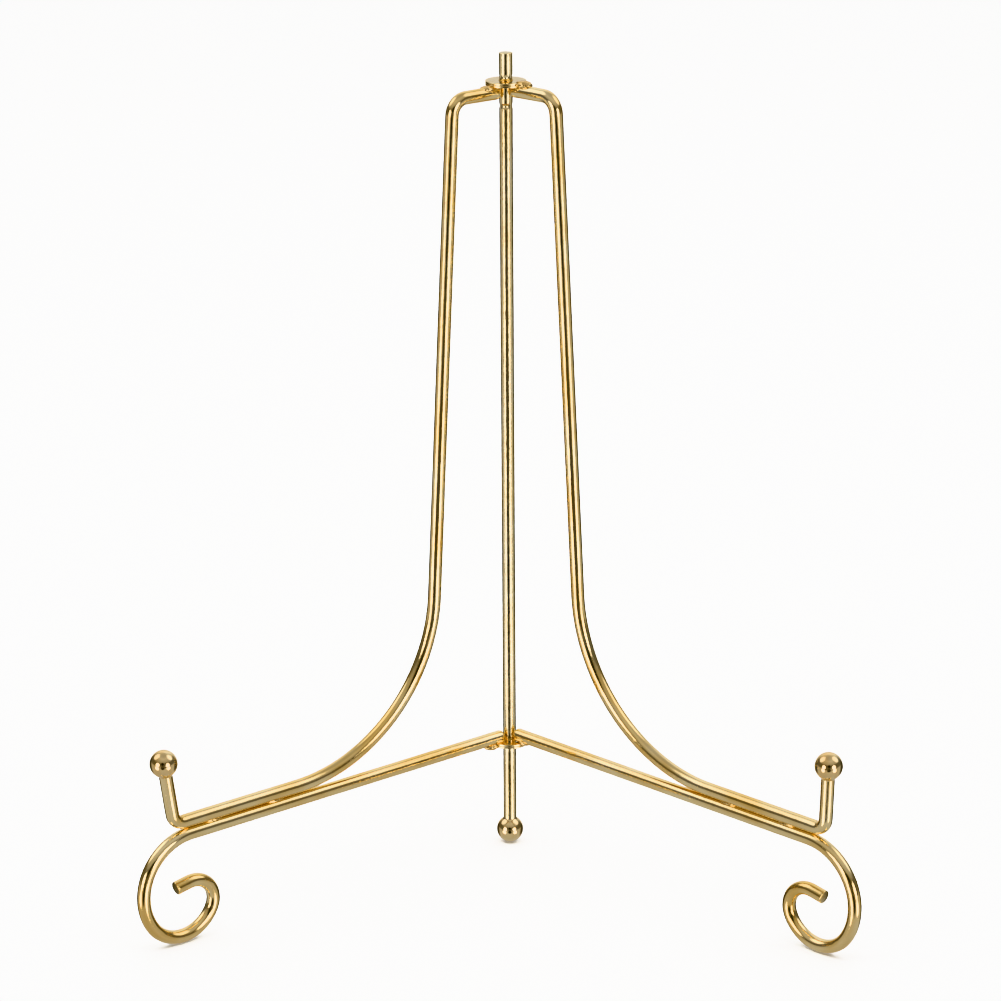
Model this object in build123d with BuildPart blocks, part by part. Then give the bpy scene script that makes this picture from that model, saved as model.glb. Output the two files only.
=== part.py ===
from build123d import *
from math import cos, radians, sin, tan
import os

# Folding wire display easel.  Two flat wings turn on one upright centre rod.
# Origin: the hinge axis at floor level.  +X is the right hand of a person facing
# the easel, -Y is towards that person, +Z is up.  All dimensions in millimetres.

os.makedirs("parts", exist_ok=True)

# --- stock -------------------------------------------------------------------
WIRE_D = 4.0                    # every wire and the centre rod are one gauge
BALL_D = 8.0                    # finial balls
WR, BR = WIRE_D / 2, BALL_D / 2
END_BREAK = 0.3                 # edge rounding on cut wire ends

# --- wings -------------------------------------------------------------------
WING_ANGLE = 40.0               # each wing stands this far forward of flat
TOP_Z = 228.8                   # centreline of the left wing's top bar
ARM_Z = 34.5                    # centreline of the left base wire at the hinge
WIRE_START = 2.7                # the wires stop this far from the hinge axis
RAIL_REACH = 19.0               # hinge axis to the side rail at the top corner
CORNER_R = 4.7                  # centreline radius of the top corner
RAIL_SPLAY = 3.3                # outward lean of the side rail, degrees
FLARE_R1, FLARE_A1 = 47.8, 16.4 # upper part of the flare: radius, degrees
FLARE_R2 = 50.7                 # lower part, down to the direction of the arm
ARM_FALL = 1.05                 # the lower wires fall away outward, degrees
ARM_GAP = 0.06                  # frame arm to base wire, filled by the welds
TIP_REACH = 118.6               # hinge axis to the upturned tip
TIP_BEND_R = 3.2                # centreline radius of the tip bend
TIP_LEN = 16.2                  # end of the bend to the ball's centre
TIP_LEAN = {"left": 8.0, "right": 2.0}   # outward lean of the tips, degrees
BORE_DEPTH = 3.2                # how far a wire end enters its ball

# --- scroll feet ---------------------------------------------------------------
SCROLL_START = 110.2            # straight length of the base wire
SCROLL_A1 = 122.0               # outer sweep; its radius follows from the height
SCROLL_R2, SCROLL_A2 = 11.3, 120.0
SCROLL_R3, SCROLL_A3 = 6.7, 128.0
SCROLL_TAIL = 4.6

# --- hinge ---------------------------------------------------------------------
ROD_TOP = 240.0
WASHER_D, WASHER_T = 11.8, 0.6
HOLE_D = WIRE_D + 0.10          # 0.05 running clearance all round the rod
STACK_GAP = 0.05                # between the washers of the two wings
LIFT = WASHER_T + STACK_GAP     # the right wing sits one washer higher
RELIEF_R = WASHER_D / 2 + 0.25  # room for the other wing's washer to turn
EAR_W, EAR_H, EAR_OUT = 2.4, 1.6, 0.6    # staked ears that keep the wings on
DENT_R, DENT_DEPTH = 1.5, 0.2   # marks of the staking tool on the sides
EAR_UP = TOP_Z + WR + 2 * WASHER_T + STACK_GAP + 0.1 + EAR_H / 2
EAR_LOW = TOP_Z - WR - 2.0

# --- welds -----------------------------------------------------------------------
NUGGETS = {"inner": 84.0, "outer": 105.0}   # reach of the two arm welds
NUGGET = (3.2, 1.25, 0.75)      # half lengths: along, across, upright
PLAIN_BEAD = (2.4, 2.25, 1.05)  # bead against the rim of a washer
LAPPED_BEAD = (2.8, 2.3, 1.3)   # bead that laps over the face of a washer
RIM_ROUND = 0.15                # rounding of the washers' outer rims


def save(body, name):
    body.part.label = name
    export_step(body.part, f"parts/{name}.step")
    print(f"{name:24s} {body.part.volume:9.2f} mm3  solids {len(body.part.solids())}")


def out_dir(side):
    """Level direction in which one wing runs out from the hinge."""
    return (side * cos(radians(WING_ANGLE)), -sin(radians(WING_ANGLE)))


def wing_plane(side):
    """Upright plane of one wing: local x runs out from the hinge, local y is up."""
    dx, dy = out_dir(side)
    return Plane(origin=(0, 0, 0), x_dir=(dx, dy, 0), z_dir=(dy, -dx, 0))


def level_plane(side, reach, height):
    """Level plane whose local x runs out along one wing."""
    dx, dy = out_dir(side)
    return Plane(origin=(reach * dx, reach * dy, height), x_dir=(dx, dy, 0), z_dir=(0, 0, 1))


def level_disc(radius, low, high):
    """Solid disc round the hinge axis."""
    with BuildPart() as disc:
        with BuildSketch(Plane.XY.offset(low)):
            Circle(radius)
        extrude(amount=high - low)
    return disc.part


def ellipsoid(side, reach, height, half):
    """Solid ellipsoid lined up with a wing: half lengths along, across, upright."""
    plane = level_plane(side, reach, height)
    return plane.location * scale(Sphere(1.0), by=half)


def arm_height(reach):
    return ARM_Z - (reach - WIRE_START) * tan(radians(ARM_FALL))


def wire_along(path, relief):
    """Round wire swept along a path, its cut ends rounded, less a relief if there is one."""
    with BuildPart() as wire:
        with BuildSketch(Plane(origin=path.line @ 0, z_dir=path.line % 0)):
            Circle(WR)
        sweep(path=path.line)
        for point in (path.line @ 0, path.line @ 1):
            fillet(wire.faces().sort_by_distance(point)[0].edges(), END_BREAK)
        if relief:
            add(relief, mode=Mode.SUBTRACT)
    return wire


def rail_length():
    """Straight part of the side rail that lands the arm on the base wire."""
    a0 = radians(90 - RAIL_SPLAY)
    a1 = radians(90 - RAIL_SPLAY - FLARE_A1)
    fall, splay = radians(ARM_FALL), radians(RAIL_SPLAY)
    curved_drop = (CORNER_R * (1 - cos(a0)) + FLARE_R1 * (cos(a1) - cos(a0))
                   + FLARE_R2 * (cos(fall) - cos(a1)))
    curved_reach = (RAIL_REACH - CORNER_R + CORNER_R * sin(a0)
                    + FLARE_R1 * (sin(a0) - sin(a1)) + FLARE_R2 * (sin(a1) - sin(fall)))
    rise = (TOP_Z - ARM_Z - curved_drop + (curved_reach - WIRE_START) * tan(fall)
            - (WIRE_D + ARM_GAP) / cos(fall))
    return rise / (cos(splay) - sin(splay) * tan(fall))


def scroll_radius(lift):
    """Radius of the outer sweep that puts the scroll's lowest point on the floor."""
    b0, b1 = radians(ARM_FALL), radians(ARM_FALL + SCROLL_A1)
    start = ARM_Z + lift - SCROLL_START * sin(b0)
    return (start - WR - SCROLL_R2 * (1 + cos(b1))) / (cos(b0) - cos(b1))


def turn(start, radius, angle):
    """Arc that carries straight on from a line or arc, left for a positive angle."""
    return JernArc(start=start @ 1, tangent=start % 1, radius=radius, arc_size=angle)


def straight(start, length):
    return Line(start @ 1, (start @ 1) + (start % 1) * length)


def frame_path(side, name, lift):
    with BuildLine(wing_plane(side)) as path:
        bar = Line((WIRE_START, TOP_Z + lift), (RAIL_REACH - CORNER_R, TOP_Z + lift))
        corner = turn(bar, CORNER_R, -(90 - RAIL_SPLAY))
        rail = straight(corner, rail_length())
        flare = turn(rail, FLARE_R1, FLARE_A1)
        sweep_out = turn(flare, FLARE_R2, 90 - RAIL_SPLAY - FLARE_A1 - ARM_FALL)
        dx, dy = out_dir(side)
        here = (sweep_out @ 1).X * dx + (sweep_out @ 1).Y * dy
        arm = straight(sweep_out, (TIP_REACH - TIP_BEND_R - here) / cos(radians(ARM_FALL)))
        bend = turn(arm, TIP_BEND_R, 90 - TIP_LEAN[name] + ARM_FALL)
        straight(bend, TIP_LEN - (BR - BORE_DEPTH))
    return path


def base_path(side, lift):
    fall = radians(ARM_FALL)
    with BuildLine(wing_plane(side)) as path:
        arm = Line((WIRE_START, ARM_Z + lift),
                   (WIRE_START + SCROLL_START * cos(fall), ARM_Z + lift - SCROLL_START * sin(fall)))
        outer = turn(arm, scroll_radius(lift), -SCROLL_A1)
        inner = turn(outer, SCROLL_R2, -SCROLL_A2)
        hook = turn(inner, SCROLL_R3, -SCROLL_A3)
        straight(hook, SCROLL_TAIL)
    return path


def ball_on(point, toward):
    """Finial ball with a blind bore for the wire and a small weld collar at its mouth."""
    back = Plane(origin=point, z_dir=toward)
    with BuildPart() as ball:
        with Locations(back):
            Sphere(BR)
        with BuildSketch(back.offset(-BR - 0.35)):
            Circle(WR + 0.12)
        with BuildSketch(back.offset(-BR + 0.95)):
            Circle(WR + 0.62)
        loft()
        with BuildSketch(back.offset(-BR - 0.5)):
            Circle(WR)
        extrude(amount=0.5 + BORE_DEPTH, mode=Mode.SUBTRACT)
    return ball


def washer_at(height):
    with BuildPart() as washer:
        with BuildSketch(Plane.XY.offset(height)):
            Circle(WASHER_D / 2)
            Circle(HOLE_D / 2, mode=Mode.SUBTRACT)
        extrude(amount=WASHER_T)
        rims = washer.edges().filter_by(GeomType.CIRCLE).sort_by(SortBy.RADIUS)[-2:]
        fillet(rims, RIM_ROUND)
    return washer


def plain_bead(side, face_z, up, wire):
    """Braze bead on a wire, butted to the rim of the washer that lies on that wire.

    face_z is the level where washer and wire meet.  up is +1 for a washer on top of
    the wire and -1 for one beneath it.
    """
    lump = ellipsoid(side, WASHER_D / 2 + 0.7, face_z - up * 0.5, PLAIN_BEAD)
    inside = level_disc(WASHER_D / 2, face_z - 5, face_z + 5)
    with BuildPart() as bead:
        add(lump)
        add(wire.part, mode=Mode.SUBTRACT)
        add(inside, mode=Mode.SUBTRACT)
    return bead


def lapped_bead(side, face_z, up, wire, washer):
    """Braze bead from a wire over the face of its washer, past the relieved wire end."""
    lump = ellipsoid(side, RELIEF_R + 0.75, face_z + up * 0.1, LAPPED_BEAD)
    floor = face_z + up * (RIM_ROUND + 0.05)
    below = level_disc(RELIEF_R, min(floor, floor - up * 6), max(floor, floor - up * 6))
    with BuildPart() as bead:
        add(lump)
        add(wire.part, mode=Mode.SUBTRACT)
        add(washer.part, mode=Mode.SUBTRACT)
        add(below, mode=Mode.SUBTRACT)
    return bead


def staked_ear(height):
    """Lobe pinched out of the rod to front and back."""
    with BuildPart() as ear:
        with BuildSketch(Plane.XZ):
            with Locations((0, height)):
                Ellipse(EAR_W / 2, EAR_H / 2)
        extrude(amount=WR + EAR_OUT, both=True)
        fillet(ear.edges().group_by(Axis.Y)[0], 0.35)
        fillet(ear.edges().group_by(Axis.Y)[-1], 0.35)
    return ear.part


def pinch_dents(height):
    """The two shallow dents that the staking tool leaves beside an ear."""
    with BuildPart() as dents:
        with Locations((-WR - DENT_R + DENT_DEPTH, 0, height), (WR + DENT_R - DENT_DEPTH, 0, height)):
            Sphere(DENT_R)
    return dents.part


# --- centre rod ------------------------------------------------------------------
ears = [staked_ear(height) for height in (EAR_UP, EAR_LOW)]
dents = [pinch_dents(height) for height in (EAR_UP, EAR_LOW)]
with BuildPart() as centre_rod:
    with BuildSketch(Plane.XY.offset(BALL_D - BORE_DEPTH)):
        Circle(WR)
    extrude(amount=ROD_TOP - (BALL_D - BORE_DEPTH))
    chamfer(centre_rod.edges().group_by(Axis.Z)[-1], END_BREAK)
    add(ears)
    add(dents, mode=Mode.SUBTRACT)
save(centre_rod, "centre_rod")

foot_ball = ball_on((0, 0, BR), (0, 0, -1))
save(foot_ball, "foot_ball")

# --- wings ------------------------------------------------------------------------
for name, side, lift in (("left", -1, 0.0), ("right", 1, LIFT)):
    top_face = TOP_Z + lift + WR
    low_face = arm_height(RELIEF_R) + lift - WR
    top_washer = washer_at(top_face)
    low_washer = washer_at(low_face - WASHER_T)

    # The right top bar and the left base wire give way to the other wing's washer.
    top_relief = level_disc(RELIEF_R, top_face - LIFT - 0.1, top_face + 2) if side > 0 else None
    low_relief = level_disc(RELIEF_R, low_face - 2, low_face + LIFT + 0.1) if side < 0 else None
    path = frame_path(side, name, lift)
    frame_wire = wire_along(path, top_relief)
    base_wire = wire_along(base_path(side, lift), low_relief)
    ball_centre = path.line @ 1 + path.line % 1 * (BR - BORE_DEPTH)
    tip_ball = ball_on(ball_centre, path.line % 1)

    if side > 0:
        top_bead = lapped_bead(side, top_face, 1, frame_wire, top_washer)
        low_bead = plain_bead(side, low_face, -1, base_wire)
    else:
        top_bead = plain_bead(side, top_face, 1, frame_wire)
        low_bead = lapped_bead(side, low_face, -1, base_wire, low_washer)

    save(frame_wire, f"{name}_frame_wire")
    save(base_wire, f"{name}_base_wire")
    save(tip_ball, f"{name}_tip_ball")
    save(top_washer, f"{name}_top_washer")
    save(low_washer, f"{name}_lower_washer")
    save(top_bead, f"{name}_top_bead")
    save(low_bead, f"{name}_lower_bead")

    for place, reach in NUGGETS.items():
        middle = arm_height(reach) + lift + (WIRE_D + ARM_GAP) / 2 / cos(radians(ARM_FALL))
        lens = ellipsoid(side, reach, middle, NUGGET)
        with BuildPart() as nugget:
            add(lens)
            add(frame_wire.part, mode=Mode.SUBTRACT)
            add(base_wire.part, mode=Mode.SUBTRACT)
        save(nugget, f"{name}_{place}_arm_weld")
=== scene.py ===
from math import cos, pi, radians, sin, tan

import bpy
import numpy as np
from mathutils import Matrix, Vector


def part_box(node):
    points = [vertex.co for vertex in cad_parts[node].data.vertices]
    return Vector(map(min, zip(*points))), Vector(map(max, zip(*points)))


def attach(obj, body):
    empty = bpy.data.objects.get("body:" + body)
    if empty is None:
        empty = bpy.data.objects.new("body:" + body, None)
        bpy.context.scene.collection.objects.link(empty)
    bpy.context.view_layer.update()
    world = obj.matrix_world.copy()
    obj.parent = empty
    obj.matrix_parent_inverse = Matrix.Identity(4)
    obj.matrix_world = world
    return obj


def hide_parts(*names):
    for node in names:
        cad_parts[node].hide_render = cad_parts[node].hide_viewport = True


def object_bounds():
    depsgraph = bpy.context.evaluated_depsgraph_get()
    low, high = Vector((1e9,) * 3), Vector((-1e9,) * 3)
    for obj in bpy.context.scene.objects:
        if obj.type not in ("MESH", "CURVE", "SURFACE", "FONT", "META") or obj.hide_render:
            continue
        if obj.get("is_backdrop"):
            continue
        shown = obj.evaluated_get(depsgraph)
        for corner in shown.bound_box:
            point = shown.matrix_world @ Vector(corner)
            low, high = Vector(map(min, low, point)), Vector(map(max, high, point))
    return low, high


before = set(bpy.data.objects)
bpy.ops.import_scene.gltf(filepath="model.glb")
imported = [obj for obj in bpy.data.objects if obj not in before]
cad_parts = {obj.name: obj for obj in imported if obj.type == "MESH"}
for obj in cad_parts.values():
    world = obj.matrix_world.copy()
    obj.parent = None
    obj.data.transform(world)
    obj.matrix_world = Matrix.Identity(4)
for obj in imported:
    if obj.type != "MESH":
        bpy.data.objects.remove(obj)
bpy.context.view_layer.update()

# Folding wire display easel, gold plated.  Two flat wings of bent wire turn on an
# upright centre rod.  Every length is in metres, with the hinge axis on Z and the
# floor at Z = 0.  +X is to the right of a person facing the easel, -Y towards them.

MM = 0.001

# --- stock, as in the CAD source ------------------------------------------------
WIRE_R = 2.0 * MM
BALL_R = 4.0 * MM
NECK_ANGLE = 0.66               # where the ball's weld starts, from its axis, in radians
NECK_LEN = 0.95 * MM
NECK_TUCK = 0.05 * MM           # how far the weld's thin end lies inside the wire
NECK_POWER = 2.4
END_BREAK = 0.3 * MM            # rounding of the cut wire ends
HINGE_BREAK = 1.1 * MM          # rounding of the ends that lie beside the rod
END_CROWN = 0.06 * MM           # height of the faint crown on a cut face

# --- wings ------------------------------------------------------------------------
SIDES = (("left", -1), ("right", 1))
WING_ANGLE = radians(40.0)
WIRE_START = 2.7 * MM
RAIL_REACH = 19.0 * MM
CORNER_R = 4.7 * MM
RAIL_SPLAY = radians(3.3)
FLARE_R1, FLARE_A1 = 47.8 * MM, radians(16.4)
FLARE_R2 = 50.7 * MM
ARM_FALL = radians(1.05)
ARM_GAP = 0.06 * MM
TIP_REACH = 118.6 * MM
TIP_BEND_R = 3.2 * MM
TIP_LEN = 16.2 * MM
TIP_LEAN = {"left": radians(8.0), "right": radians(2.0)}
BORE_DEPTH = 3.2 * MM

# --- scroll feet ------------------------------------------------------------------
SCROLL_START = 110.2 * MM
SCROLL_A1 = radians(122.0)
SCROLL_R2, SCROLL_A2 = 11.3 * MM, radians(120.0)
SCROLL_R3, SCROLL_A3 = 6.7 * MM, radians(128.0)
SCROLL_TAIL = 4.6 * MM

# --- hinge ------------------------------------------------------------------------
WASHER_R = 5.9 * MM
HOLE_R = 2.05 * MM
RIM_ROUND = 0.15 * MM
RELIEF_R = 6.15 * MM
LIFT = {"left": 0.0, "right": 0.65 * MM}
EAR_W, EAR_H, EAR_OUT = 2.4 * MM, 1.6 * MM, 0.6 * MM
DENT_H, DENT_DEPTH = 0.85 * MM, 0.2 * MM

# --- welds ------------------------------------------------------------------------
NUGGETS = {"inner": 84.0 * MM, "outer": 105.0 * MM}
NUGGET = (3.2 * MM, 1.25 * MM, 0.75 * MM)
PLAIN_BEAD = (2.4 * MM, 2.25 * MM, 1.05 * MM)
LAPPED_BEAD = (2.8 * MM, 2.3 * MM, 1.3 * MM)

# --- levels read from the frame -----------------------------------------------------
ROD_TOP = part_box("centre_rod")[1][2]
WASHER_FACE = {name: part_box(f"{name}_top_washer")[0][2] for name, side in SIDES}
LOW_FACE = {name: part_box(f"{name}_lower_washer")[1][2] for name, side in SIDES}
WASHER_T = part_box("left_top_washer")[1][2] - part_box("left_top_washer")[0][2]
TOP_Z = WASHER_FACE["left"] - WIRE_R
ARM_Z = LOW_FACE["left"] + WIRE_R + (RELIEF_R - WIRE_START) * tan(ARM_FALL)
EAR_LEVELS = (WASHER_FACE["right"] + WASHER_T + 0.1 * MM + EAR_H / 2, TOP_Z - WIRE_R - 2.0 * MM)

ROUND = 40                      # points round a wire
STEP = 0.7 * MM                 # spacing of the rings along a wire


# === shapes ==========================================================================
def closed_grid(name, rings, first=None, last=None, coordinate=None):
    """Mesh from rings of points, each ring closed on itself.

    Neighbouring rings are joined by four-sided faces.  With first and last, those two
    points close the ends by fans.  Without them the last ring joins the first one.
    coordinate is one vector per vertex, kept as the attribute named along.
    """
    count, around = rings.shape[:2]
    index = np.arange(count * around).reshape(count, around)
    here = index if first is None else index[:-1]
    over = np.roll(index, -1, axis=0) if first is None else index[1:]
    quads = np.stack([here, np.roll(here, -1, axis=1), np.roll(over, -1, axis=1), over], axis=-1)
    loops, sizes = [quads.reshape(-1)], [np.full(here.size, 4)]
    points = rings.reshape(-1, 3)
    a, b, c, d = (points[quads[..., k].reshape(-1)] - points.mean(axis=0) for k in range(4))
    inside_out = np.sum(np.cross(a, b) * c + np.cross(a, c) * d) < 0
    if first is not None:
        points = np.vstack([points, first, last])
        low, high = index[0], index[-1]
        fan_low = np.stack([np.roll(low, -1), low, np.full(around, count * around)], axis=-1)
        fan_high = np.stack([high, np.roll(high, -1), np.full(around, count * around + 1)], axis=-1)
        loops += [fan_low.reshape(-1), fan_high.reshape(-1)]
        sizes += [np.full(2 * around, 3)]
    if inside_out:
        loops = [run.reshape(-1, 4 if k == 0 else 3)[:, ::-1].reshape(-1)
                 for k, run in enumerate(loops)]
    corners, size = np.concatenate(loops), np.concatenate(sizes)
    mesh = bpy.data.meshes.new(name)
    mesh.vertices.add(len(points))
    mesh.vertices.foreach_set("co", points.astype(np.float32).reshape(-1))
    mesh.loops.add(len(corners))
    mesh.loops.foreach_set("vertex_index", corners.astype(np.int32))
    mesh.polygons.add(len(size))
    starts = np.concatenate([[0], np.cumsum(size)[:-1]])
    mesh.polygons.foreach_set("loop_start", starts.astype(np.int32))
    mesh.update(calc_edges=True)
    mesh.polygons.foreach_set("use_smooth", np.ones(len(size), dtype=bool))
    if coordinate is not None:
        layer = mesh.attributes.new("along", "FLOAT_VECTOR", "POINT")
        layer.data.foreach_set("vector", coordinate.astype(np.float32).reshape(-1))
    mesh.update()
    piece = bpy.data.objects.new(name, mesh)
    bpy.context.scene.collection.objects.link(piece)
    return piece


def wing_axes(side):
    """Outward, upward and sideways unit vectors of one wing."""
    out = np.array([side * cos(WING_ANGLE), -sin(WING_ANGLE), 0.0])
    up = np.array([0.0, 0.0, 1.0])
    return out, up, np.cross(out, up)


def path_at(start, heading, moves, s):
    """Point and heading at each distance s along a path of straights and arcs.

    moves is a list of (length, turn).  Within one move the chord from its start is
    the distance gone times sin(x)/x, where x is half the angle turned so far, and it
    points along the mean heading.
    """
    length = np.array([m[0] for m in moves])
    turned = np.array([m[1] for m in moves])
    bend = turned / length
    begin = np.concatenate([[0.0], np.cumsum(length)[:-1]])
    head = heading + np.concatenate([[0.0], np.cumsum(turned)[:-1]])

    def chord(distance, at):
        half = bend[at] * distance / 2
        size = distance * np.sinc(half / pi)
        return np.stack([size * np.cos(head[at] + half), size * np.sin(head[at] + half)], axis=-1)

    steps = chord(length, np.arange(len(moves)))
    corner = np.array(start) + np.vstack([np.zeros(2), np.cumsum(steps, axis=0)[:-1]])
    at = np.clip(np.searchsorted(begin, s, side="right") - 1, 0, len(moves) - 1)
    gone = s - begin[at]
    return corner[at] + chord(gone, at), head[at] + bend[at] * gone, bend[at]


def end_stations(crown, edge, radius):
    """Distances and radii of the rings that close a cut end.

    The cut face rises from its edge to the middle by a parabola of height crown, and
    a quarter circle of radius edge joins it to the side of the wire.
    """
    flat = np.linspace(0.12, 1.0, 7) * (radius - edge)
    turn = np.linspace(0.0, pi / 2, 7)[1:]
    rise = crown * (flat / (radius - edge)) ** 2
    along = np.concatenate([rise, crown + (edge - crown) * (1 - np.cos(turn))])
    out = np.concatenate([flat, radius - edge + edge * np.sin(turn)])
    return along, out


def wire_stations(length, radius):
    """Distance along the wire and radius of every ring, cut ends included."""
    inner, inner_r = end_stations(END_CROWN, HINGE_BREAK, radius)
    outer, outer_r = end_stations(END_CROWN, END_BREAK, radius)
    count = int((length - HINGE_BREAK - END_BREAK) / STEP)
    middle = np.linspace(HINGE_BREAK, length - END_BREAK, count)[1:-1]
    s = np.concatenate([inner, middle, length - outer[::-1]])
    r = np.concatenate([inner_r, np.full(len(middle), radius), outer_r[::-1]])
    return s, r


def bent_wire(name, side, start, heading, moves, phase):
    """Round wire that follows a path in the upright plane of one wing.

    Each ring is a circle square to the path.  Where the path bends tightly the circle
    is pressed a little on the outside and spreads a little to both sides, in
    proportion to wire radius times curvature.  A slow dip of about a hundredth of a
    millimetre comes and goes along the wire, as drawn wire has after straightening.
    """
    length = sum(m[0] for m in moves)
    s, r = wire_stations(length, WIRE_R)
    centre, head, bend = path_at(start, heading, moves, s)
    soft = np.exp(-0.5 * ((np.arange(-6, 7)) / 2.5) ** 2)
    press = np.convolve(np.pad(bend * WIRE_R, 6, mode="edge"), soft / soft.sum(), mode="valid")
    out, up, across = wing_axes(side)
    angle = np.linspace(0.0, 2 * pi, ROUND, endpoint=False)
    swell = 1 + 0.006 * np.sin(s / (5.3 * MM) + phase) * np.sin(s / (17.0 * MM) + 2 * phase)
    r = r * np.minimum(swell, 1.0)
    facing = np.cos(angle)[None, :] * np.sign(press)[:, None]
    inward = 1 - 0.09 * np.abs(press)[:, None] * np.clip(-facing, 0.0, 1.0) ** 2
    sideways = 1 + 0.05 * np.abs(press)[:, None] * np.sin(angle)[None, :] ** 2
    size = r[:, None] * inward * sideways
    normal = -np.sin(head)[:, None] * out + np.cos(head)[:, None] * up
    middle = centre[:, :1] * out + centre[:, 1:] * up
    rings = (middle[:, None, :]
             + (size * np.cos(angle))[..., None] * normal[:, None, :]
             + (size * np.sin(angle))[..., None] * across)
    along = np.stack(np.broadcast_arrays(WIRE_R * np.cos(angle)[None, :],
                                         WIRE_R * np.sin(angle)[None, :],
                                         s[:, None] + 1.7 * phase), axis=-1).reshape(-1, 3)
    ends = np.array([[0, 0, s[0] + 1.7 * phase], [0, 0, s[-1] + 1.7 * phase]])
    tip, _, _ = path_at(start, heading, moves, np.array([0.0, length]))
    first, last = tip[:, :1] * out + tip[:, 1:] * up
    return closed_grid(name, rings, first, last, np.vstack([along, ends]))


def rail_length():
    """Straight part of the side rail that lands the arm on the base wire."""
    a0 = pi / 2 - RAIL_SPLAY
    a1 = a0 - FLARE_A1
    drop = (CORNER_R * (1 - cos(a0)) + FLARE_R1 * (cos(a1) - cos(a0))
            + FLARE_R2 * (cos(ARM_FALL) - cos(a1)))
    reach = (RAIL_REACH - CORNER_R + CORNER_R * sin(a0)
             + FLARE_R1 * (sin(a0) - sin(a1)) + FLARE_R2 * (sin(a1) - sin(ARM_FALL)))
    rise = (TOP_Z - ARM_Z - drop + (reach - WIRE_START) * tan(ARM_FALL)
            - (2 * WIRE_R + ARM_GAP) / cos(ARM_FALL))
    return rise / (cos(RAIL_SPLAY) - sin(RAIL_SPLAY) * tan(ARM_FALL))


def frame_moves(name):
    """Top bar, corner, side rail, the two sweeps of the flare, arm, tip bend and tip."""
    square = pi / 2
    last_sweep = square - RAIL_SPLAY - FLARE_A1 - ARM_FALL
    moves = [(RAIL_REACH - CORNER_R - WIRE_START, 0.0),
             (CORNER_R * (square - RAIL_SPLAY), -(square - RAIL_SPLAY)),
             (rail_length(), 0.0),
             (FLARE_R1 * FLARE_A1, FLARE_A1),
             (FLARE_R2 * last_sweep, last_sweep)]
    so_far = sum(m[0] for m in moves)
    at, _, _ = path_at((WIRE_START, 0.0), 0.0, moves, np.array([so_far]))
    rise = square - TIP_LEAN[name] + ARM_FALL
    return moves + [((TIP_REACH - TIP_BEND_R - at[0, 0]) / cos(ARM_FALL), 0.0),
                    (TIP_BEND_R * rise, rise),
                    (TIP_LEN - (BALL_R - BORE_DEPTH), 0.0)]


def base_moves(lift):
    """Straight base wire, then the outer, middle and inner sweeps of the scroll."""
    b0, b1 = ARM_FALL, ARM_FALL + SCROLL_A1
    start = ARM_Z + lift - SCROLL_START * sin(b0)
    outer = (start - WIRE_R - SCROLL_R2 * (1 + cos(b1))) / (cos(b0) - cos(b1))
    return [(SCROLL_START, 0.0), (outer * SCROLL_A1, -SCROLL_A1),
            (SCROLL_R2 * SCROLL_A2, -SCROLL_A2), (SCROLL_R3 * SCROLL_A3, -SCROLL_A3),
            (SCROLL_TAIL, 0.0)]


def turned(name, centre, axis, along, radius, around=96, lumps=0.0, phase=0.0):
    """Surface of revolution that is closed by a pole at each end.

    along and radius give the profile as distance on the axis and distance from it.
    lumps adds a slight unevenness that varies with both the angle and the height.
    """
    axis = Vector(axis).normalized()
    side = axis.orthogonal().normalized()
    third = axis.cross(side)
    angle = np.linspace(0.0, 2 * pi, around, endpoint=False)
    round_wave = np.sin(3 * angle[None, :] + phase)
    wave = 1 + lumps * round_wave * np.sin(along[:, None] / (0.9 * MM) + 2 * phase)
    size = radius[1:-1, None] * wave[1:-1]
    rings = (np.array(centre) + along[1:-1, None, None] * np.array(axis)
             + (size * np.cos(angle))[..., None] * np.array(side)
             + (size * np.sin(angle))[..., None] * np.array(third))
    first = np.array(centre) + along[0] * np.array(axis)
    last = np.array(centre) + along[-1] * np.array(axis)
    flat = np.stack([size * np.cos(angle), size * np.sin(angle),
                     np.broadcast_to(along[1:-1, None], size.shape)], axis=-1).reshape(-1, 3)
    ends = np.array([[0, 0, along[0]], [0, 0, along[-1]]])
    return closed_grid(name, rings, first, last, np.vstack([flat, ends]))


def ball(name, centre, toward, phase):
    """Finial ball with a small fillet of weld where the wire enters it.

    The profile runs from the far pole over the sphere to the neck, NECK_ANGLE from the
    axis.  From there the gap between the ball and the wire closes as the distance
    left, to the power NECK_POWER.
    """
    turn = np.linspace(0.0, pi, 90)
    sphere_along, sphere_r = BALL_R * np.cos(turn), BALL_R * np.sin(turn)
    neck = -BALL_R * cos(NECK_ANGLE)
    keep = sphere_along > neck
    down = np.linspace(0.0, 1.0, 14)
    neck_along = neck - down * NECK_LEN
    wire_gap = BALL_R * sin(NECK_ANGLE) - WIRE_R + NECK_TUCK
    neck_r = WIRE_R - NECK_TUCK + wire_gap * (1 - down) ** NECK_POWER
    along = np.concatenate([sphere_along[keep], neck_along, neck_along[-1:]])
    radius = np.concatenate([sphere_r[keep], neck_r, [0.0]])
    return turned(name, centre, toward, along[::-1], radius[::-1], 96, 0.0022, phase)


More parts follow.
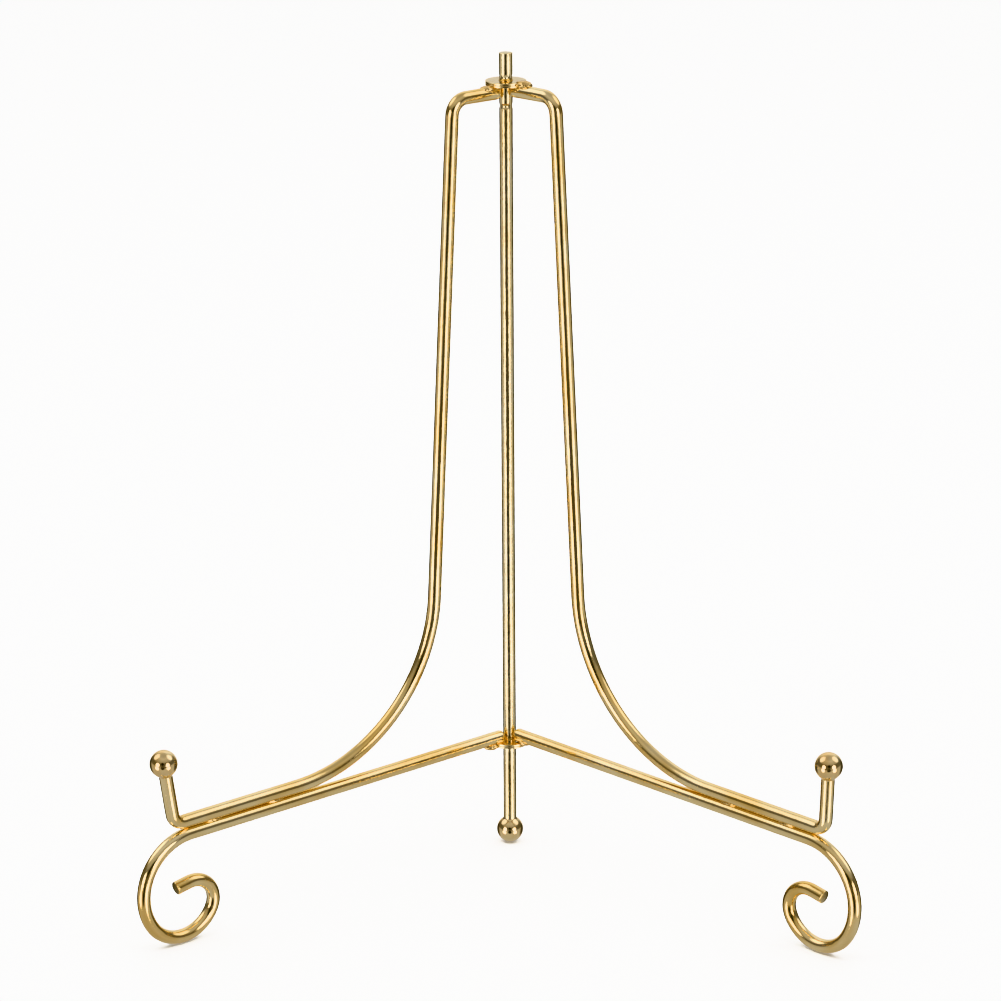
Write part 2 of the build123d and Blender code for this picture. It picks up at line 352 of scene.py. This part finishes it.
def washer(name, low):
    """Flat ring with rounded rims, its hole a running fit on the rod.

    The section is a rectangle with quarter circles at its four corners, followed
    round once.
    """
    turn = np.linspace(0.0, pi / 2, 7)
    corners = ((WASHER_R, 0.0, -pi / 2), (WASHER_R, WASHER_T, 0.0),
               (HOLE_R, WASHER_T, pi / 2), (HOLE_R, 0.0, pi))
    reach, height = [], []
    for radius, level, start in corners:
        inside = radius - RIM_ROUND if radius == WASHER_R else radius + RIM_ROUND
        within = WASHER_T - RIM_ROUND if level else RIM_ROUND
        reach.append(inside + RIM_ROUND * np.cos(start + turn))
        height.append(within + RIM_ROUND * np.sin(start + turn))
    reach, height = np.concatenate(reach), np.concatenate(height)
    angle = np.linspace(0.0, 2 * pi, 128, endpoint=False)
    rings = np.stack([reach[:, None] * np.cos(angle), reach[:, None] * np.sin(angle),
                      np.broadcast_to(low + height[:, None], (len(reach), len(angle)))], axis=-1)
    return closed_grid(name, rings, coordinate=rings.reshape(-1, 3))


def lump(name, side, reach, height, half, seed):
    """Weld metal: an ellipsoid with a few shallow ripples, lined up with its wing.

    Each point is the ellipsoid's own point times one minus a small sum of waves in
    its direction, so the lump never leaves the ellipsoid.
    """
    out, up, across = wing_axes(side)
    turn = np.linspace(0.0, pi, 40)[1:-1]
    angle = np.linspace(0.0, 2 * pi, 56, endpoint=False)
    x = np.broadcast_to(np.cos(turn)[:, None], (len(turn), len(angle)))
    y = np.sin(turn)[:, None] * np.cos(angle)
    z = np.sin(turn)[:, None] * np.sin(angle)
    wave = (np.sin(7.1 * x + 3.0 * y + seed) * np.sin(5.3 * z - 2.2 * x + 2 * seed)
            + 0.5 * np.sin(11.0 * x + seed) * np.cos(9.0 * y + 3 * seed))
    size = 1 - 0.055 * (wave + 1.5) / 1.5
    local = np.stack([x * half[0], y * half[1], z * half[2]], axis=-1) * size[..., None]
    middle = reach * out + height * up
    rings = middle + local[..., :1] * out + local[..., 1:2] * across + local[..., 2:] * up
    first, last = middle + half[0] * 0.95 * out, middle - half[0] * 0.95 * out
    ends = np.array([[half[0], 0, 0], [-half[0], 0, 0]])
    return closed_grid(name, rings, first, last, np.vstack([local.reshape(-1, 3), ends]))


def centre_rod(name):
    """Straight rod with two staked places, front and back lobes with a dent at each side.

    The radius is the wire's own.  At each staked level a lobe is added that depends
    on the distance from the level and on the sideways distance from the front or
    back line, each by a smooth hump (1 - u^2)^2, and a dent is taken off in the
    same way on the two sides.  The cut top has its edge broken.
    """
    low = BALL_R * 2 - BORE_DEPTH
    along, out = end_stations(END_CROWN, END_BREAK, WIRE_R)
    levels = [np.arange(level - 1.3 * MM, level + 1.3 * MM, 0.06 * MM) for level in EAR_LEVELS]
    plain = np.arange(low + END_BREAK + 0.5 * MM, ROD_TOP - END_BREAK - 0.3 * MM, 0.8 * MM)
    away = np.min(np.abs(plain[:, None] - np.array(EAR_LEVELS)), axis=1) > 1.35 * MM
    between = np.sort(np.concatenate([plain[away], *levels]))
    z = np.concatenate([low + along, between, ROD_TOP - along[::-1]])
    r = np.concatenate([out, np.full(len(z) - 2 * len(out), WIRE_R), out[::-1]])
    angle = np.linspace(0.0, 2 * pi, 96, endpoint=False)
    radius = np.broadcast_to(r[:, None], (len(z), len(angle))).copy()
    for level in EAR_LEVELS:
        up = np.clip(1 - ((z - level) / (EAR_H / 2)) ** 2, 0, 1)[:, None] ** 0.8
        wide = np.clip(1 - (WIRE_R * np.cos(angle) / (EAR_W / 2)) ** 2, 0, 1)[None, :] ** 0.8
        beside = np.clip(1 - (WIRE_R * np.sin(angle) / (1.0 * MM)) ** 2, 0, 1)[None, :] ** 2
        dent_up = np.clip(1 - ((z - level) / DENT_H) ** 2, 0, 1)[:, None] ** 1.5
        radius += EAR_OUT * up * wide - DENT_DEPTH * dent_up * beside
    rings = np.stack([radius * np.cos(angle), radius * np.sin(angle),
                      np.broadcast_to(z[:, None], radius.shape)], axis=-1)
    first, last = np.array([0, 0, low]), np.array([0, 0, ROD_TOP])
    return closed_grid(name, rings, first, last, np.vstack([rings.reshape(-1, 3), first, last]))


# === finishes ==========================================================================
def node(tree, kind, **inputs):
    """New shader node with the given socket values, sockets named by label."""
    made = tree.nodes.new(kind)
    for key, value in inputs.items():
        made.inputs[key.replace("_", " ")].default_value = value
    return made


def ramp(tree, source, stops):
    """Colour ramp fed by a socket, with stops as (position, colour)."""
    made = tree.nodes.new("ShaderNodeValToRGB")
    tree.links.new(source, made.inputs["Fac"])
    bar = made.color_ramp
    while len(bar.elements) < len(stops):
        bar.elements.new(0.5)
    for element, (place, colour) in zip(bar.elements, stops):
        element.position = place
        element.color = (*colour, 1.0)
    return made.outputs["Color"]


def stretched(tree, scale):
    """The piece's own along coordinate, scaled differently round and along the wire."""
    source = tree.nodes.new("ShaderNodeAttribute")
    source.attribute_name = "along"
    mapping = node(tree, "ShaderNodeMapping", Scale=scale)
    tree.links.new(source.outputs["Vector"], mapping.inputs["Vector"])
    return mapping.outputs["Vector"]


def noise(tree, vector, scale, detail=3.0, rough=0.55):
    """Smooth noise between 0 and 1 over the given coordinate."""
    made = node(tree, "ShaderNodeTexNoise", Scale=scale, Detail=detail, Roughness=rough)
    tree.links.new(vector, made.inputs["Vector"])
    return made.outputs["Fac"]


def add_bump(tree, height, distance, strength, below=None):
    """Bumped normal from a height socket, on top of the normal below."""
    made = node(tree, "ShaderNodeBump", Strength=strength, Distance=distance)
    tree.links.new(height, made.inputs["Height"])
    if below is not None:
        tree.links.new(below, made.inputs["Normal"])
    return made.outputs["Normal"]


def plating(name, pale, deep, gloss, draw_lines, grain):
    """Bright gold plating over drawn wire.

    Colour drifts between pale and deep in long patches.  Roughness follows fine
    streaks along the wire and scattered duller specks.  Bump carries the draw lines
    of the wire and the faint orange peel of the plating.
    """
    finish = bpy.data.materials.new(name)
    finish.use_nodes = True
    tree = finish.node_tree
    tree.nodes.clear()
    shader = node(tree, "ShaderNodeBsdfPrincipled", Metallic=1.0)
    output = tree.nodes.new("ShaderNodeOutputMaterial")
    tree.links.new(shader.outputs["BSDF"], output.inputs["Surface"])
    patches = noise(tree, stretched(tree, (220.0, 220.0, 60.0)), 1.0, 2.0)
    colour = ramp(tree, patches, [(0.32, deep), (0.68, pale)])
    tree.links.new(colour, shader.inputs["Base Color"])
    streaks = noise(tree, stretched(tree, (2600.0, 2600.0, 90.0)), 1.0, 3.0, 0.6)
    specks = noise(tree, stretched(tree, (1500.0, 1500.0, 1100.0)), 1.0, 4.0, 0.7)
    both = node(tree, "ShaderNodeMix")
    both.inputs["Factor"].default_value = 0.45
    tree.links.new(streaks, both.inputs["A"])
    tree.links.new(specks, both.inputs["B"])
    low, high = gloss
    rough = node(tree, "ShaderNodeMapRange")
    rough.inputs["From Min"].default_value = 0.35
    rough.inputs["From Max"].default_value = 0.68
    rough.inputs["To Min"].default_value = low
    rough.inputs["To Max"].default_value = high
    tree.links.new(both.outputs["Result"], rough.inputs["Value"])
    tree.links.new(rough.outputs["Result"], shader.inputs["Roughness"])
    peel = noise(tree, stretched(tree, (900.0, 900.0, 420.0)), 1.0, 2.0)
    bump = add_bump(tree, peel, 0.07 * MM, grain)
    bump = add_bump(tree, streaks, 0.02 * MM, draw_lines, bump)
    tree.links.new(bump, shader.inputs["Normal"])
    return finish


def weld_metal(name, pale, deep):
    """Plated weld: rippled, duller than the wire, with darker low places."""
    finish = bpy.data.materials.new(name)
    finish.use_nodes = True
    tree = finish.node_tree
    tree.nodes.clear()
    shader = node(tree, "ShaderNodeBsdfPrincipled", Metallic=1.0)
    output = tree.nodes.new("ShaderNodeOutputMaterial")
    tree.links.new(shader.outputs["BSDF"], output.inputs["Surface"])
    ripple = noise(tree, stretched(tree, (1300.0, 1300.0, 1300.0)), 1.0, 3.0)
    tree.links.new(ramp(tree, ripple, [(0.3, deep), (0.65, pale)]), shader.inputs["Base Color"])
    rough = node(tree, "ShaderNodeMapRange")
    rough.inputs["To Min"].default_value = 0.36
    rough.inputs["To Max"].default_value = 0.16
    tree.links.new(ripple, rough.inputs["Value"])
    tree.links.new(rough.outputs["Result"], shader.inputs["Roughness"])
    fine = noise(tree, stretched(tree, (4200.0, 4200.0, 4200.0)), 1.0, 3.0, 0.7)
    bump = add_bump(tree, ripple, 0.10 * MM, 0.7)
    tree.links.new(add_bump(tree, fine, 0.02 * MM, 0.5, bump), shader.inputs["Normal"])
    return finish


# === the easel ============================================================================
def finished(piece, body, node_name, finish):
    """Puts a piece on its body, in place of its CAD node, with its finish."""
    piece.data.materials.append(finish)
    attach(piece, body)
    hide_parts(node_name)


wire_finish = plating("plated_wire", (0.96, 0.79, 0.46), (0.87, 0.59, 0.22), (0.05, 0.15), 0.35, 0.45)
rod_finish = plating("plated_rod", (0.94, 0.81, 0.53), (0.85, 0.66, 0.34), (0.06, 0.20), 0.45, 0.90)
ball_finish = plating("plated_ball", (0.94, 0.76, 0.44), (0.87, 0.58, 0.25), (0.04, 0.12), 0.10, 0.45)
washer_finish = plating("plated_washer", (0.94, 0.77, 0.44), (0.88, 0.64, 0.29),
                        (0.08, 0.20), 0.25, 0.45)
weld_finish = weld_metal("plated_weld", (0.88, 0.64, 0.30), (0.66, 0.40, 0.14))

finished(centre_rod("rod"), "post", "centre_rod", rod_finish)
finished(ball("rod_foot_ball", (0, 0, BALL_R), (0, 0, -1), 0.4),
         "post", "foot_ball", ball_finish)

for order, (name, side) in enumerate(SIDES):
    body, lift = f"{name}_wing", LIFT[name]
    out, up, across = wing_axes(side)
    moves = frame_moves(name)
    top = (WIRE_START, TOP_Z + lift)
    finished(bent_wire(f"{name}_frame", side, top, 0.0, moves, 0.6 + order),
             body, f"{name}_frame_wire", wire_finish)
    low = (WIRE_START, ARM_Z + lift)
    finished(bent_wire(f"{name}_base", side, low, -ARM_FALL, base_moves(lift), 2.9 + order),
             body, f"{name}_base_wire", wire_finish)

    length = sum(m[0] for m in moves)
    at, heading, _ = path_at(top, 0.0, moves, np.array([length]))
    tip_axis = np.cos(heading[0]) * out + np.sin(heading[0]) * up
    centre = at[0, 0] * out + at[0, 1] * up + tip_axis * (BALL_R - BORE_DEPTH)
    finished(ball(f"{name}_tip", centre, tip_axis, 1.3 + order),
             body, f"{name}_tip_ball", ball_finish)

    finished(washer(f"{name}_washer_top", WASHER_FACE[name]),
             body, f"{name}_top_washer", washer_finish)
    finished(washer(f"{name}_washer_low", LOW_FACE[name] - WASHER_T),
             body, f"{name}_lower_washer", washer_finish)

    # Where the other wing's washer lies between a wire and its own washer, the wire is
    # relieved and the bead sits further out.
    plain, lapped = WASHER_R + 0.7 * MM, RELIEF_R + 0.75 * MM
    if side < 0:
        bead_top = (plain, WASHER_FACE[name] - 0.5 * MM, PLAIN_BEAD)
        bead_low = (lapped, LOW_FACE[name] - 0.1 * MM, LAPPED_BEAD)
    else:
        bead_top = (lapped, WASHER_FACE[name] + 0.1 * MM, LAPPED_BEAD)
        bead_low = (plain, LOW_FACE[name] + 0.5 * MM, PLAIN_BEAD)
    finished(lump(f"{name}_weld_top", side, *bead_top, 1.0 + order),
             body, f"{name}_top_bead", weld_finish)
    finished(lump(f"{name}_weld_low", side, *bead_low, 4.0 + order),
             body, f"{name}_lower_bead", weld_finish)

    for place, reach in NUGGETS.items():
        level = (ARM_Z - (reach - WIRE_START) * tan(ARM_FALL) + lift
                 + (WIRE_R + ARM_GAP / 2) / cos(ARM_FALL))
        finished(lump(f"{name}_weld_{place}", side, reach, level, NUGGET, 7.0 + reach / MM + order),
                 body, f"{name}_{place}_arm_weld", weld_finish)


# === studio ==================================================================================
def plain_finish(name, colour, rough):
    """Even, unpatterned surface for the stage."""
    finish = bpy.data.materials.new(name)
    finish.use_nodes = True
    shader = finish.node_tree.nodes["Principled BSDF"]
    shader.inputs["Base Color"].default_value = (*colour, 1.0)
    shader.inputs["Roughness"].default_value = rough
    return finish


def stage_sheet(name, points, faces, finish):
    """Thin sheet that belongs to the stage and not to the easel."""
    mesh = bpy.data.meshes.new(name)
    mesh.from_pydata(points.tolist(), [], faces.tolist())
    mesh.polygons.foreach_set("use_smooth", np.ones(len(mesh.polygons), dtype=bool))
    sheet = bpy.data.objects.new(name, mesh)
    bpy.context.scene.collection.objects.link(sheet)
    sheet.data.materials.append(finish)
    sheet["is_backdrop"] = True
    return sheet


def backdrop():
    """Plain pale floor that curves up into a wall far behind the easel.

    The profile is a flat floor, a quarter circle and an upright wall, carried
    sideways.  The metal mirrors the studio world in its place.
    """
    depth, radius, height, wide = 1.6, 0.9, 3.0, 4.0
    turn = np.linspace(0.0, pi / 2, 24)
    y = np.concatenate([[-4.0], depth + radius * np.sin(turn), [depth + radius]])
    z = np.concatenate([[0.0], radius * (1 - np.cos(turn)), [height]])
    count = len(y)
    left = np.stack([np.full(count, -wide), y, z], axis=-1)
    right = left * np.array([-1.0, 1.0, 1.0])
    here = np.arange(count - 1)
    faces = np.stack([here, here + count, here + count + 1, here + 1], axis=-1)
    sweep = stage_sheet("backdrop", np.vstack([left, right]), faces,
                        plain_finish("backdrop_paper", (0.93, 0.93, 0.93), 0.8))
    sweep.visible_glossy = False


def card(name, x, y, z, shade):
    """Level card that only the metal sees, at height z over the ranges x and y."""
    points = np.array([[x[0], y[0], z], [x[1], y[0], z], [x[1], y[1], z], [x[0], y[1], z]])
    sheet = stage_sheet(name, points, np.array([[0, 1, 2, 3]]), plain_finish(name, shade, 0.9))
    sheet.visible_camera = sheet.visible_diffuse = sheet.visible_shadow = False


def area_light(name, place, aim, size, power):
    """Rectangular light at place that faces aim and isn't mirrored by the metal."""
    data = bpy.data.lights.new(name, "AREA")
    data.shape = "RECTANGLE"
    data.size, data.size_y = size
    data.energy = power
    lamp = bpy.data.objects.new(name, data)
    lamp.location = place
    lamp.rotation_mode = "QUATERNION"
    lamp.rotation_quaternion = (Vector(aim) - Vector(place)).to_track_quat("-Z", "Y")
    lamp.visible_glossy = False
    bpy.context.scene.collection.objects.link(lamp)


def room_direction(azimuth, elevation):
    """Unit vector to a place in the room.  Azimuth 0 is straight out of the front, 90 is +X."""
    a, e = radians(azimuth), radians(elevation)
    return (sin(a) * cos(e), -cos(a) * cos(e), sin(e))


def patch(tree, direction, azimuth, elevation, inner, outer):
    """One inside a round patch of the room, falling smoothly to nothing at its edge."""
    dot = tree.nodes.new("ShaderNodeVectorMath")
    dot.operation = "DOT_PRODUCT"
    tree.links.new(direction, dot.inputs[0])
    dot.inputs[1].default_value = room_direction(azimuth, elevation)
    edge = tree.nodes.new("ShaderNodeMapRange")
    edge.interpolation_type = "SMOOTHSTEP"
    edge.inputs["From Min"].default_value = cos(radians(outer))
    edge.inputs["From Max"].default_value = cos(radians(inner))
    tree.links.new(dot.outputs["Value"], edge.inputs["Value"])
    return edge.outputs["Result"]


def arithmetic(tree, operation, one, other):
    """Math node on two values, each a number or a socket."""
    made = tree.nodes.new("ShaderNodeMath")
    made.operation = operation
    for slot_input, value in zip(made.inputs, (one, other)):
        if isinstance(value, float):
            slot_input.default_value = value
        else:
            tree.links.new(value, slot_input)
    return made.outputs["Value"]


# Brightness of the room by the sine of the elevation, from straight down to straight up.
ROOM = ((-1.0, 0.50), (-0.55, 0.55), (-0.25, 0.50), (-0.06, 0.50), (0.02, 0.17),
        (0.36, 0.15), (0.52, 0.40), (0.85, 0.60), (1.0, 0.45))
# Soft windows: azimuth, elevation, inner and outer half angle, brightness.
WINDOWS = ((-41, 7, 8, 16, 6.0), (41, 7, 8, 16, 6.0),
           (-46, -18, 7, 15, 5.5), (46, -18, 7, 15, 5.5),
           (-100, 47, 10, 24, 1.5), (100, 47, 10, 24, 1.5),
           (180, 16, 20, 50, 0.6))
# Dark places: azimuth, elevation, inner and outer half angle, share of light taken away.
SHADES = ((0, 18, 7, 14, 0.94), (0, -13, 11, 19, 0.95),
          (-126, -18, 14, 30, 0.84), (126, -18, 14, 30, 0.84))


def studio_world():
    """White behind everything for the camera, and a soft studio for the metal to mirror.

    The room's brightness is a ramp over the height of the direction looked in, plus
    the soft windows, less the dark places around the lens.
    """
    world = bpy.data.worlds.new("studio")
    bpy.context.scene.world = world
    world.use_nodes = True
    tree = world.node_tree
    tree.nodes.clear()
    direction = tree.nodes.new("ShaderNodeTexCoord").outputs["Generated"]
    parts = tree.nodes.new("ShaderNodeSeparateXYZ")
    tree.links.new(direction, parts.inputs["Vector"])
    height = arithmetic(tree, "MULTIPLY_ADD", parts.outputs["Z"], 0.5)
    height.node.inputs[2].default_value = 0.5
    level = ramp(tree, height, [(0.5 + 0.5 * z, (v, v, v)) for z, v in ROOM])
    for azimuth, elevation, inner, outer, bright in WINDOWS:
        lit = patch(tree, direction, azimuth, elevation, inner, outer)
        glow = arithmetic(tree, "MULTIPLY", lit, float(bright))
        level = arithmetic(tree, "ADD", level, glow)
    for azimuth, elevation, inner, outer, share in SHADES:
        dark = patch(tree, direction, azimuth, elevation, inner, outer)
        taken = arithmetic(tree, "MULTIPLY", dark, float(share))
        level = arithmetic(tree, "MULTIPLY", level, arithmetic(tree, "SUBTRACT", 1.0, taken))
    path = tree.nodes.new("ShaderNodeLightPath")
    output = tree.nodes.new("ShaderNodeOutputWorld")
    seen = node(tree, "ShaderNodeBackground", Color=(1.0, 1.0, 1.0, 1.0), Strength=3.0)
    room = node(tree, "ShaderNodeBackground", Color=(1.0, 0.99, 0.97, 1.0))
    tree.links.new(level, room.inputs["Strength"])
    mix = tree.nodes.new("ShaderNodeMixShader")
    tree.links.new(path.outputs["Is Camera Ray"], mix.inputs[0])
    tree.links.new(room.outputs["Background"], mix.inputs[1])
    tree.links.new(seen.outputs["Background"], mix.inputs[2])
    tree.links.new(mix.outputs["Shader"], output.inputs["Surface"])


CAMERA_LENS = 132.2             # focal length in mm, on a 36 mm sensor
CAMERA_AT = Vector((0.0458, -1.0190, 0.4401))
CAMERA_TURN, CAMERA_TILT, CAMERA_ROLL = radians(-2.70), radians(18.055), radians(-0.37)


def camera():
    """Camera in front of the easel, a little above it, looking down at the middle."""
    data = bpy.data.cameras.new("camera")
    data.sensor_width = 36.0
    data.lens = CAMERA_LENS
    data.clip_start, data.clip_end = 0.05, 20.0
    eye = bpy.data.objects.new("camera", data)
    forward = Vector((sin(CAMERA_TURN) * cos(CAMERA_TILT),
                      cos(CAMERA_TURN) * cos(CAMERA_TILT), -sin(CAMERA_TILT)))
    level = forward.cross(Vector((0.0, 0.0, 1.0))).normalized()
    right = cos(CAMERA_ROLL) * level + sin(CAMERA_ROLL) * level.cross(forward)
    up = right.cross(forward)
    turn = Matrix((right, up, -forward)).transposed().to_4x4()
    eye.matrix_world = Matrix.Translation(CAMERA_AT) @ turn
    bpy.context.scene.collection.objects.link(eye)
    bpy.context.scene.camera = eye


backdrop()
studio_world()
# The dark card makes the dark line up the middle of the upright wires.
card("table_front", (-0.22, 0.22), (-1.00, -0.33), 0.0002, (0.02, 0.018, 0.015))
area_light("over", (0.0, 0.2, 1.9), (0.0, 0.0, ROD_TOP / 2), (2.6, 2.0), 95.0)
area_light("wash", (0.0, -0.6, 1.6), (0.0, 1.8, 0.5), (2.6, 0.6), 60.0)
camera()
bpy.context.scene.view_settings.view_transform = "Khronos PBR Neutral"

low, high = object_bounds()
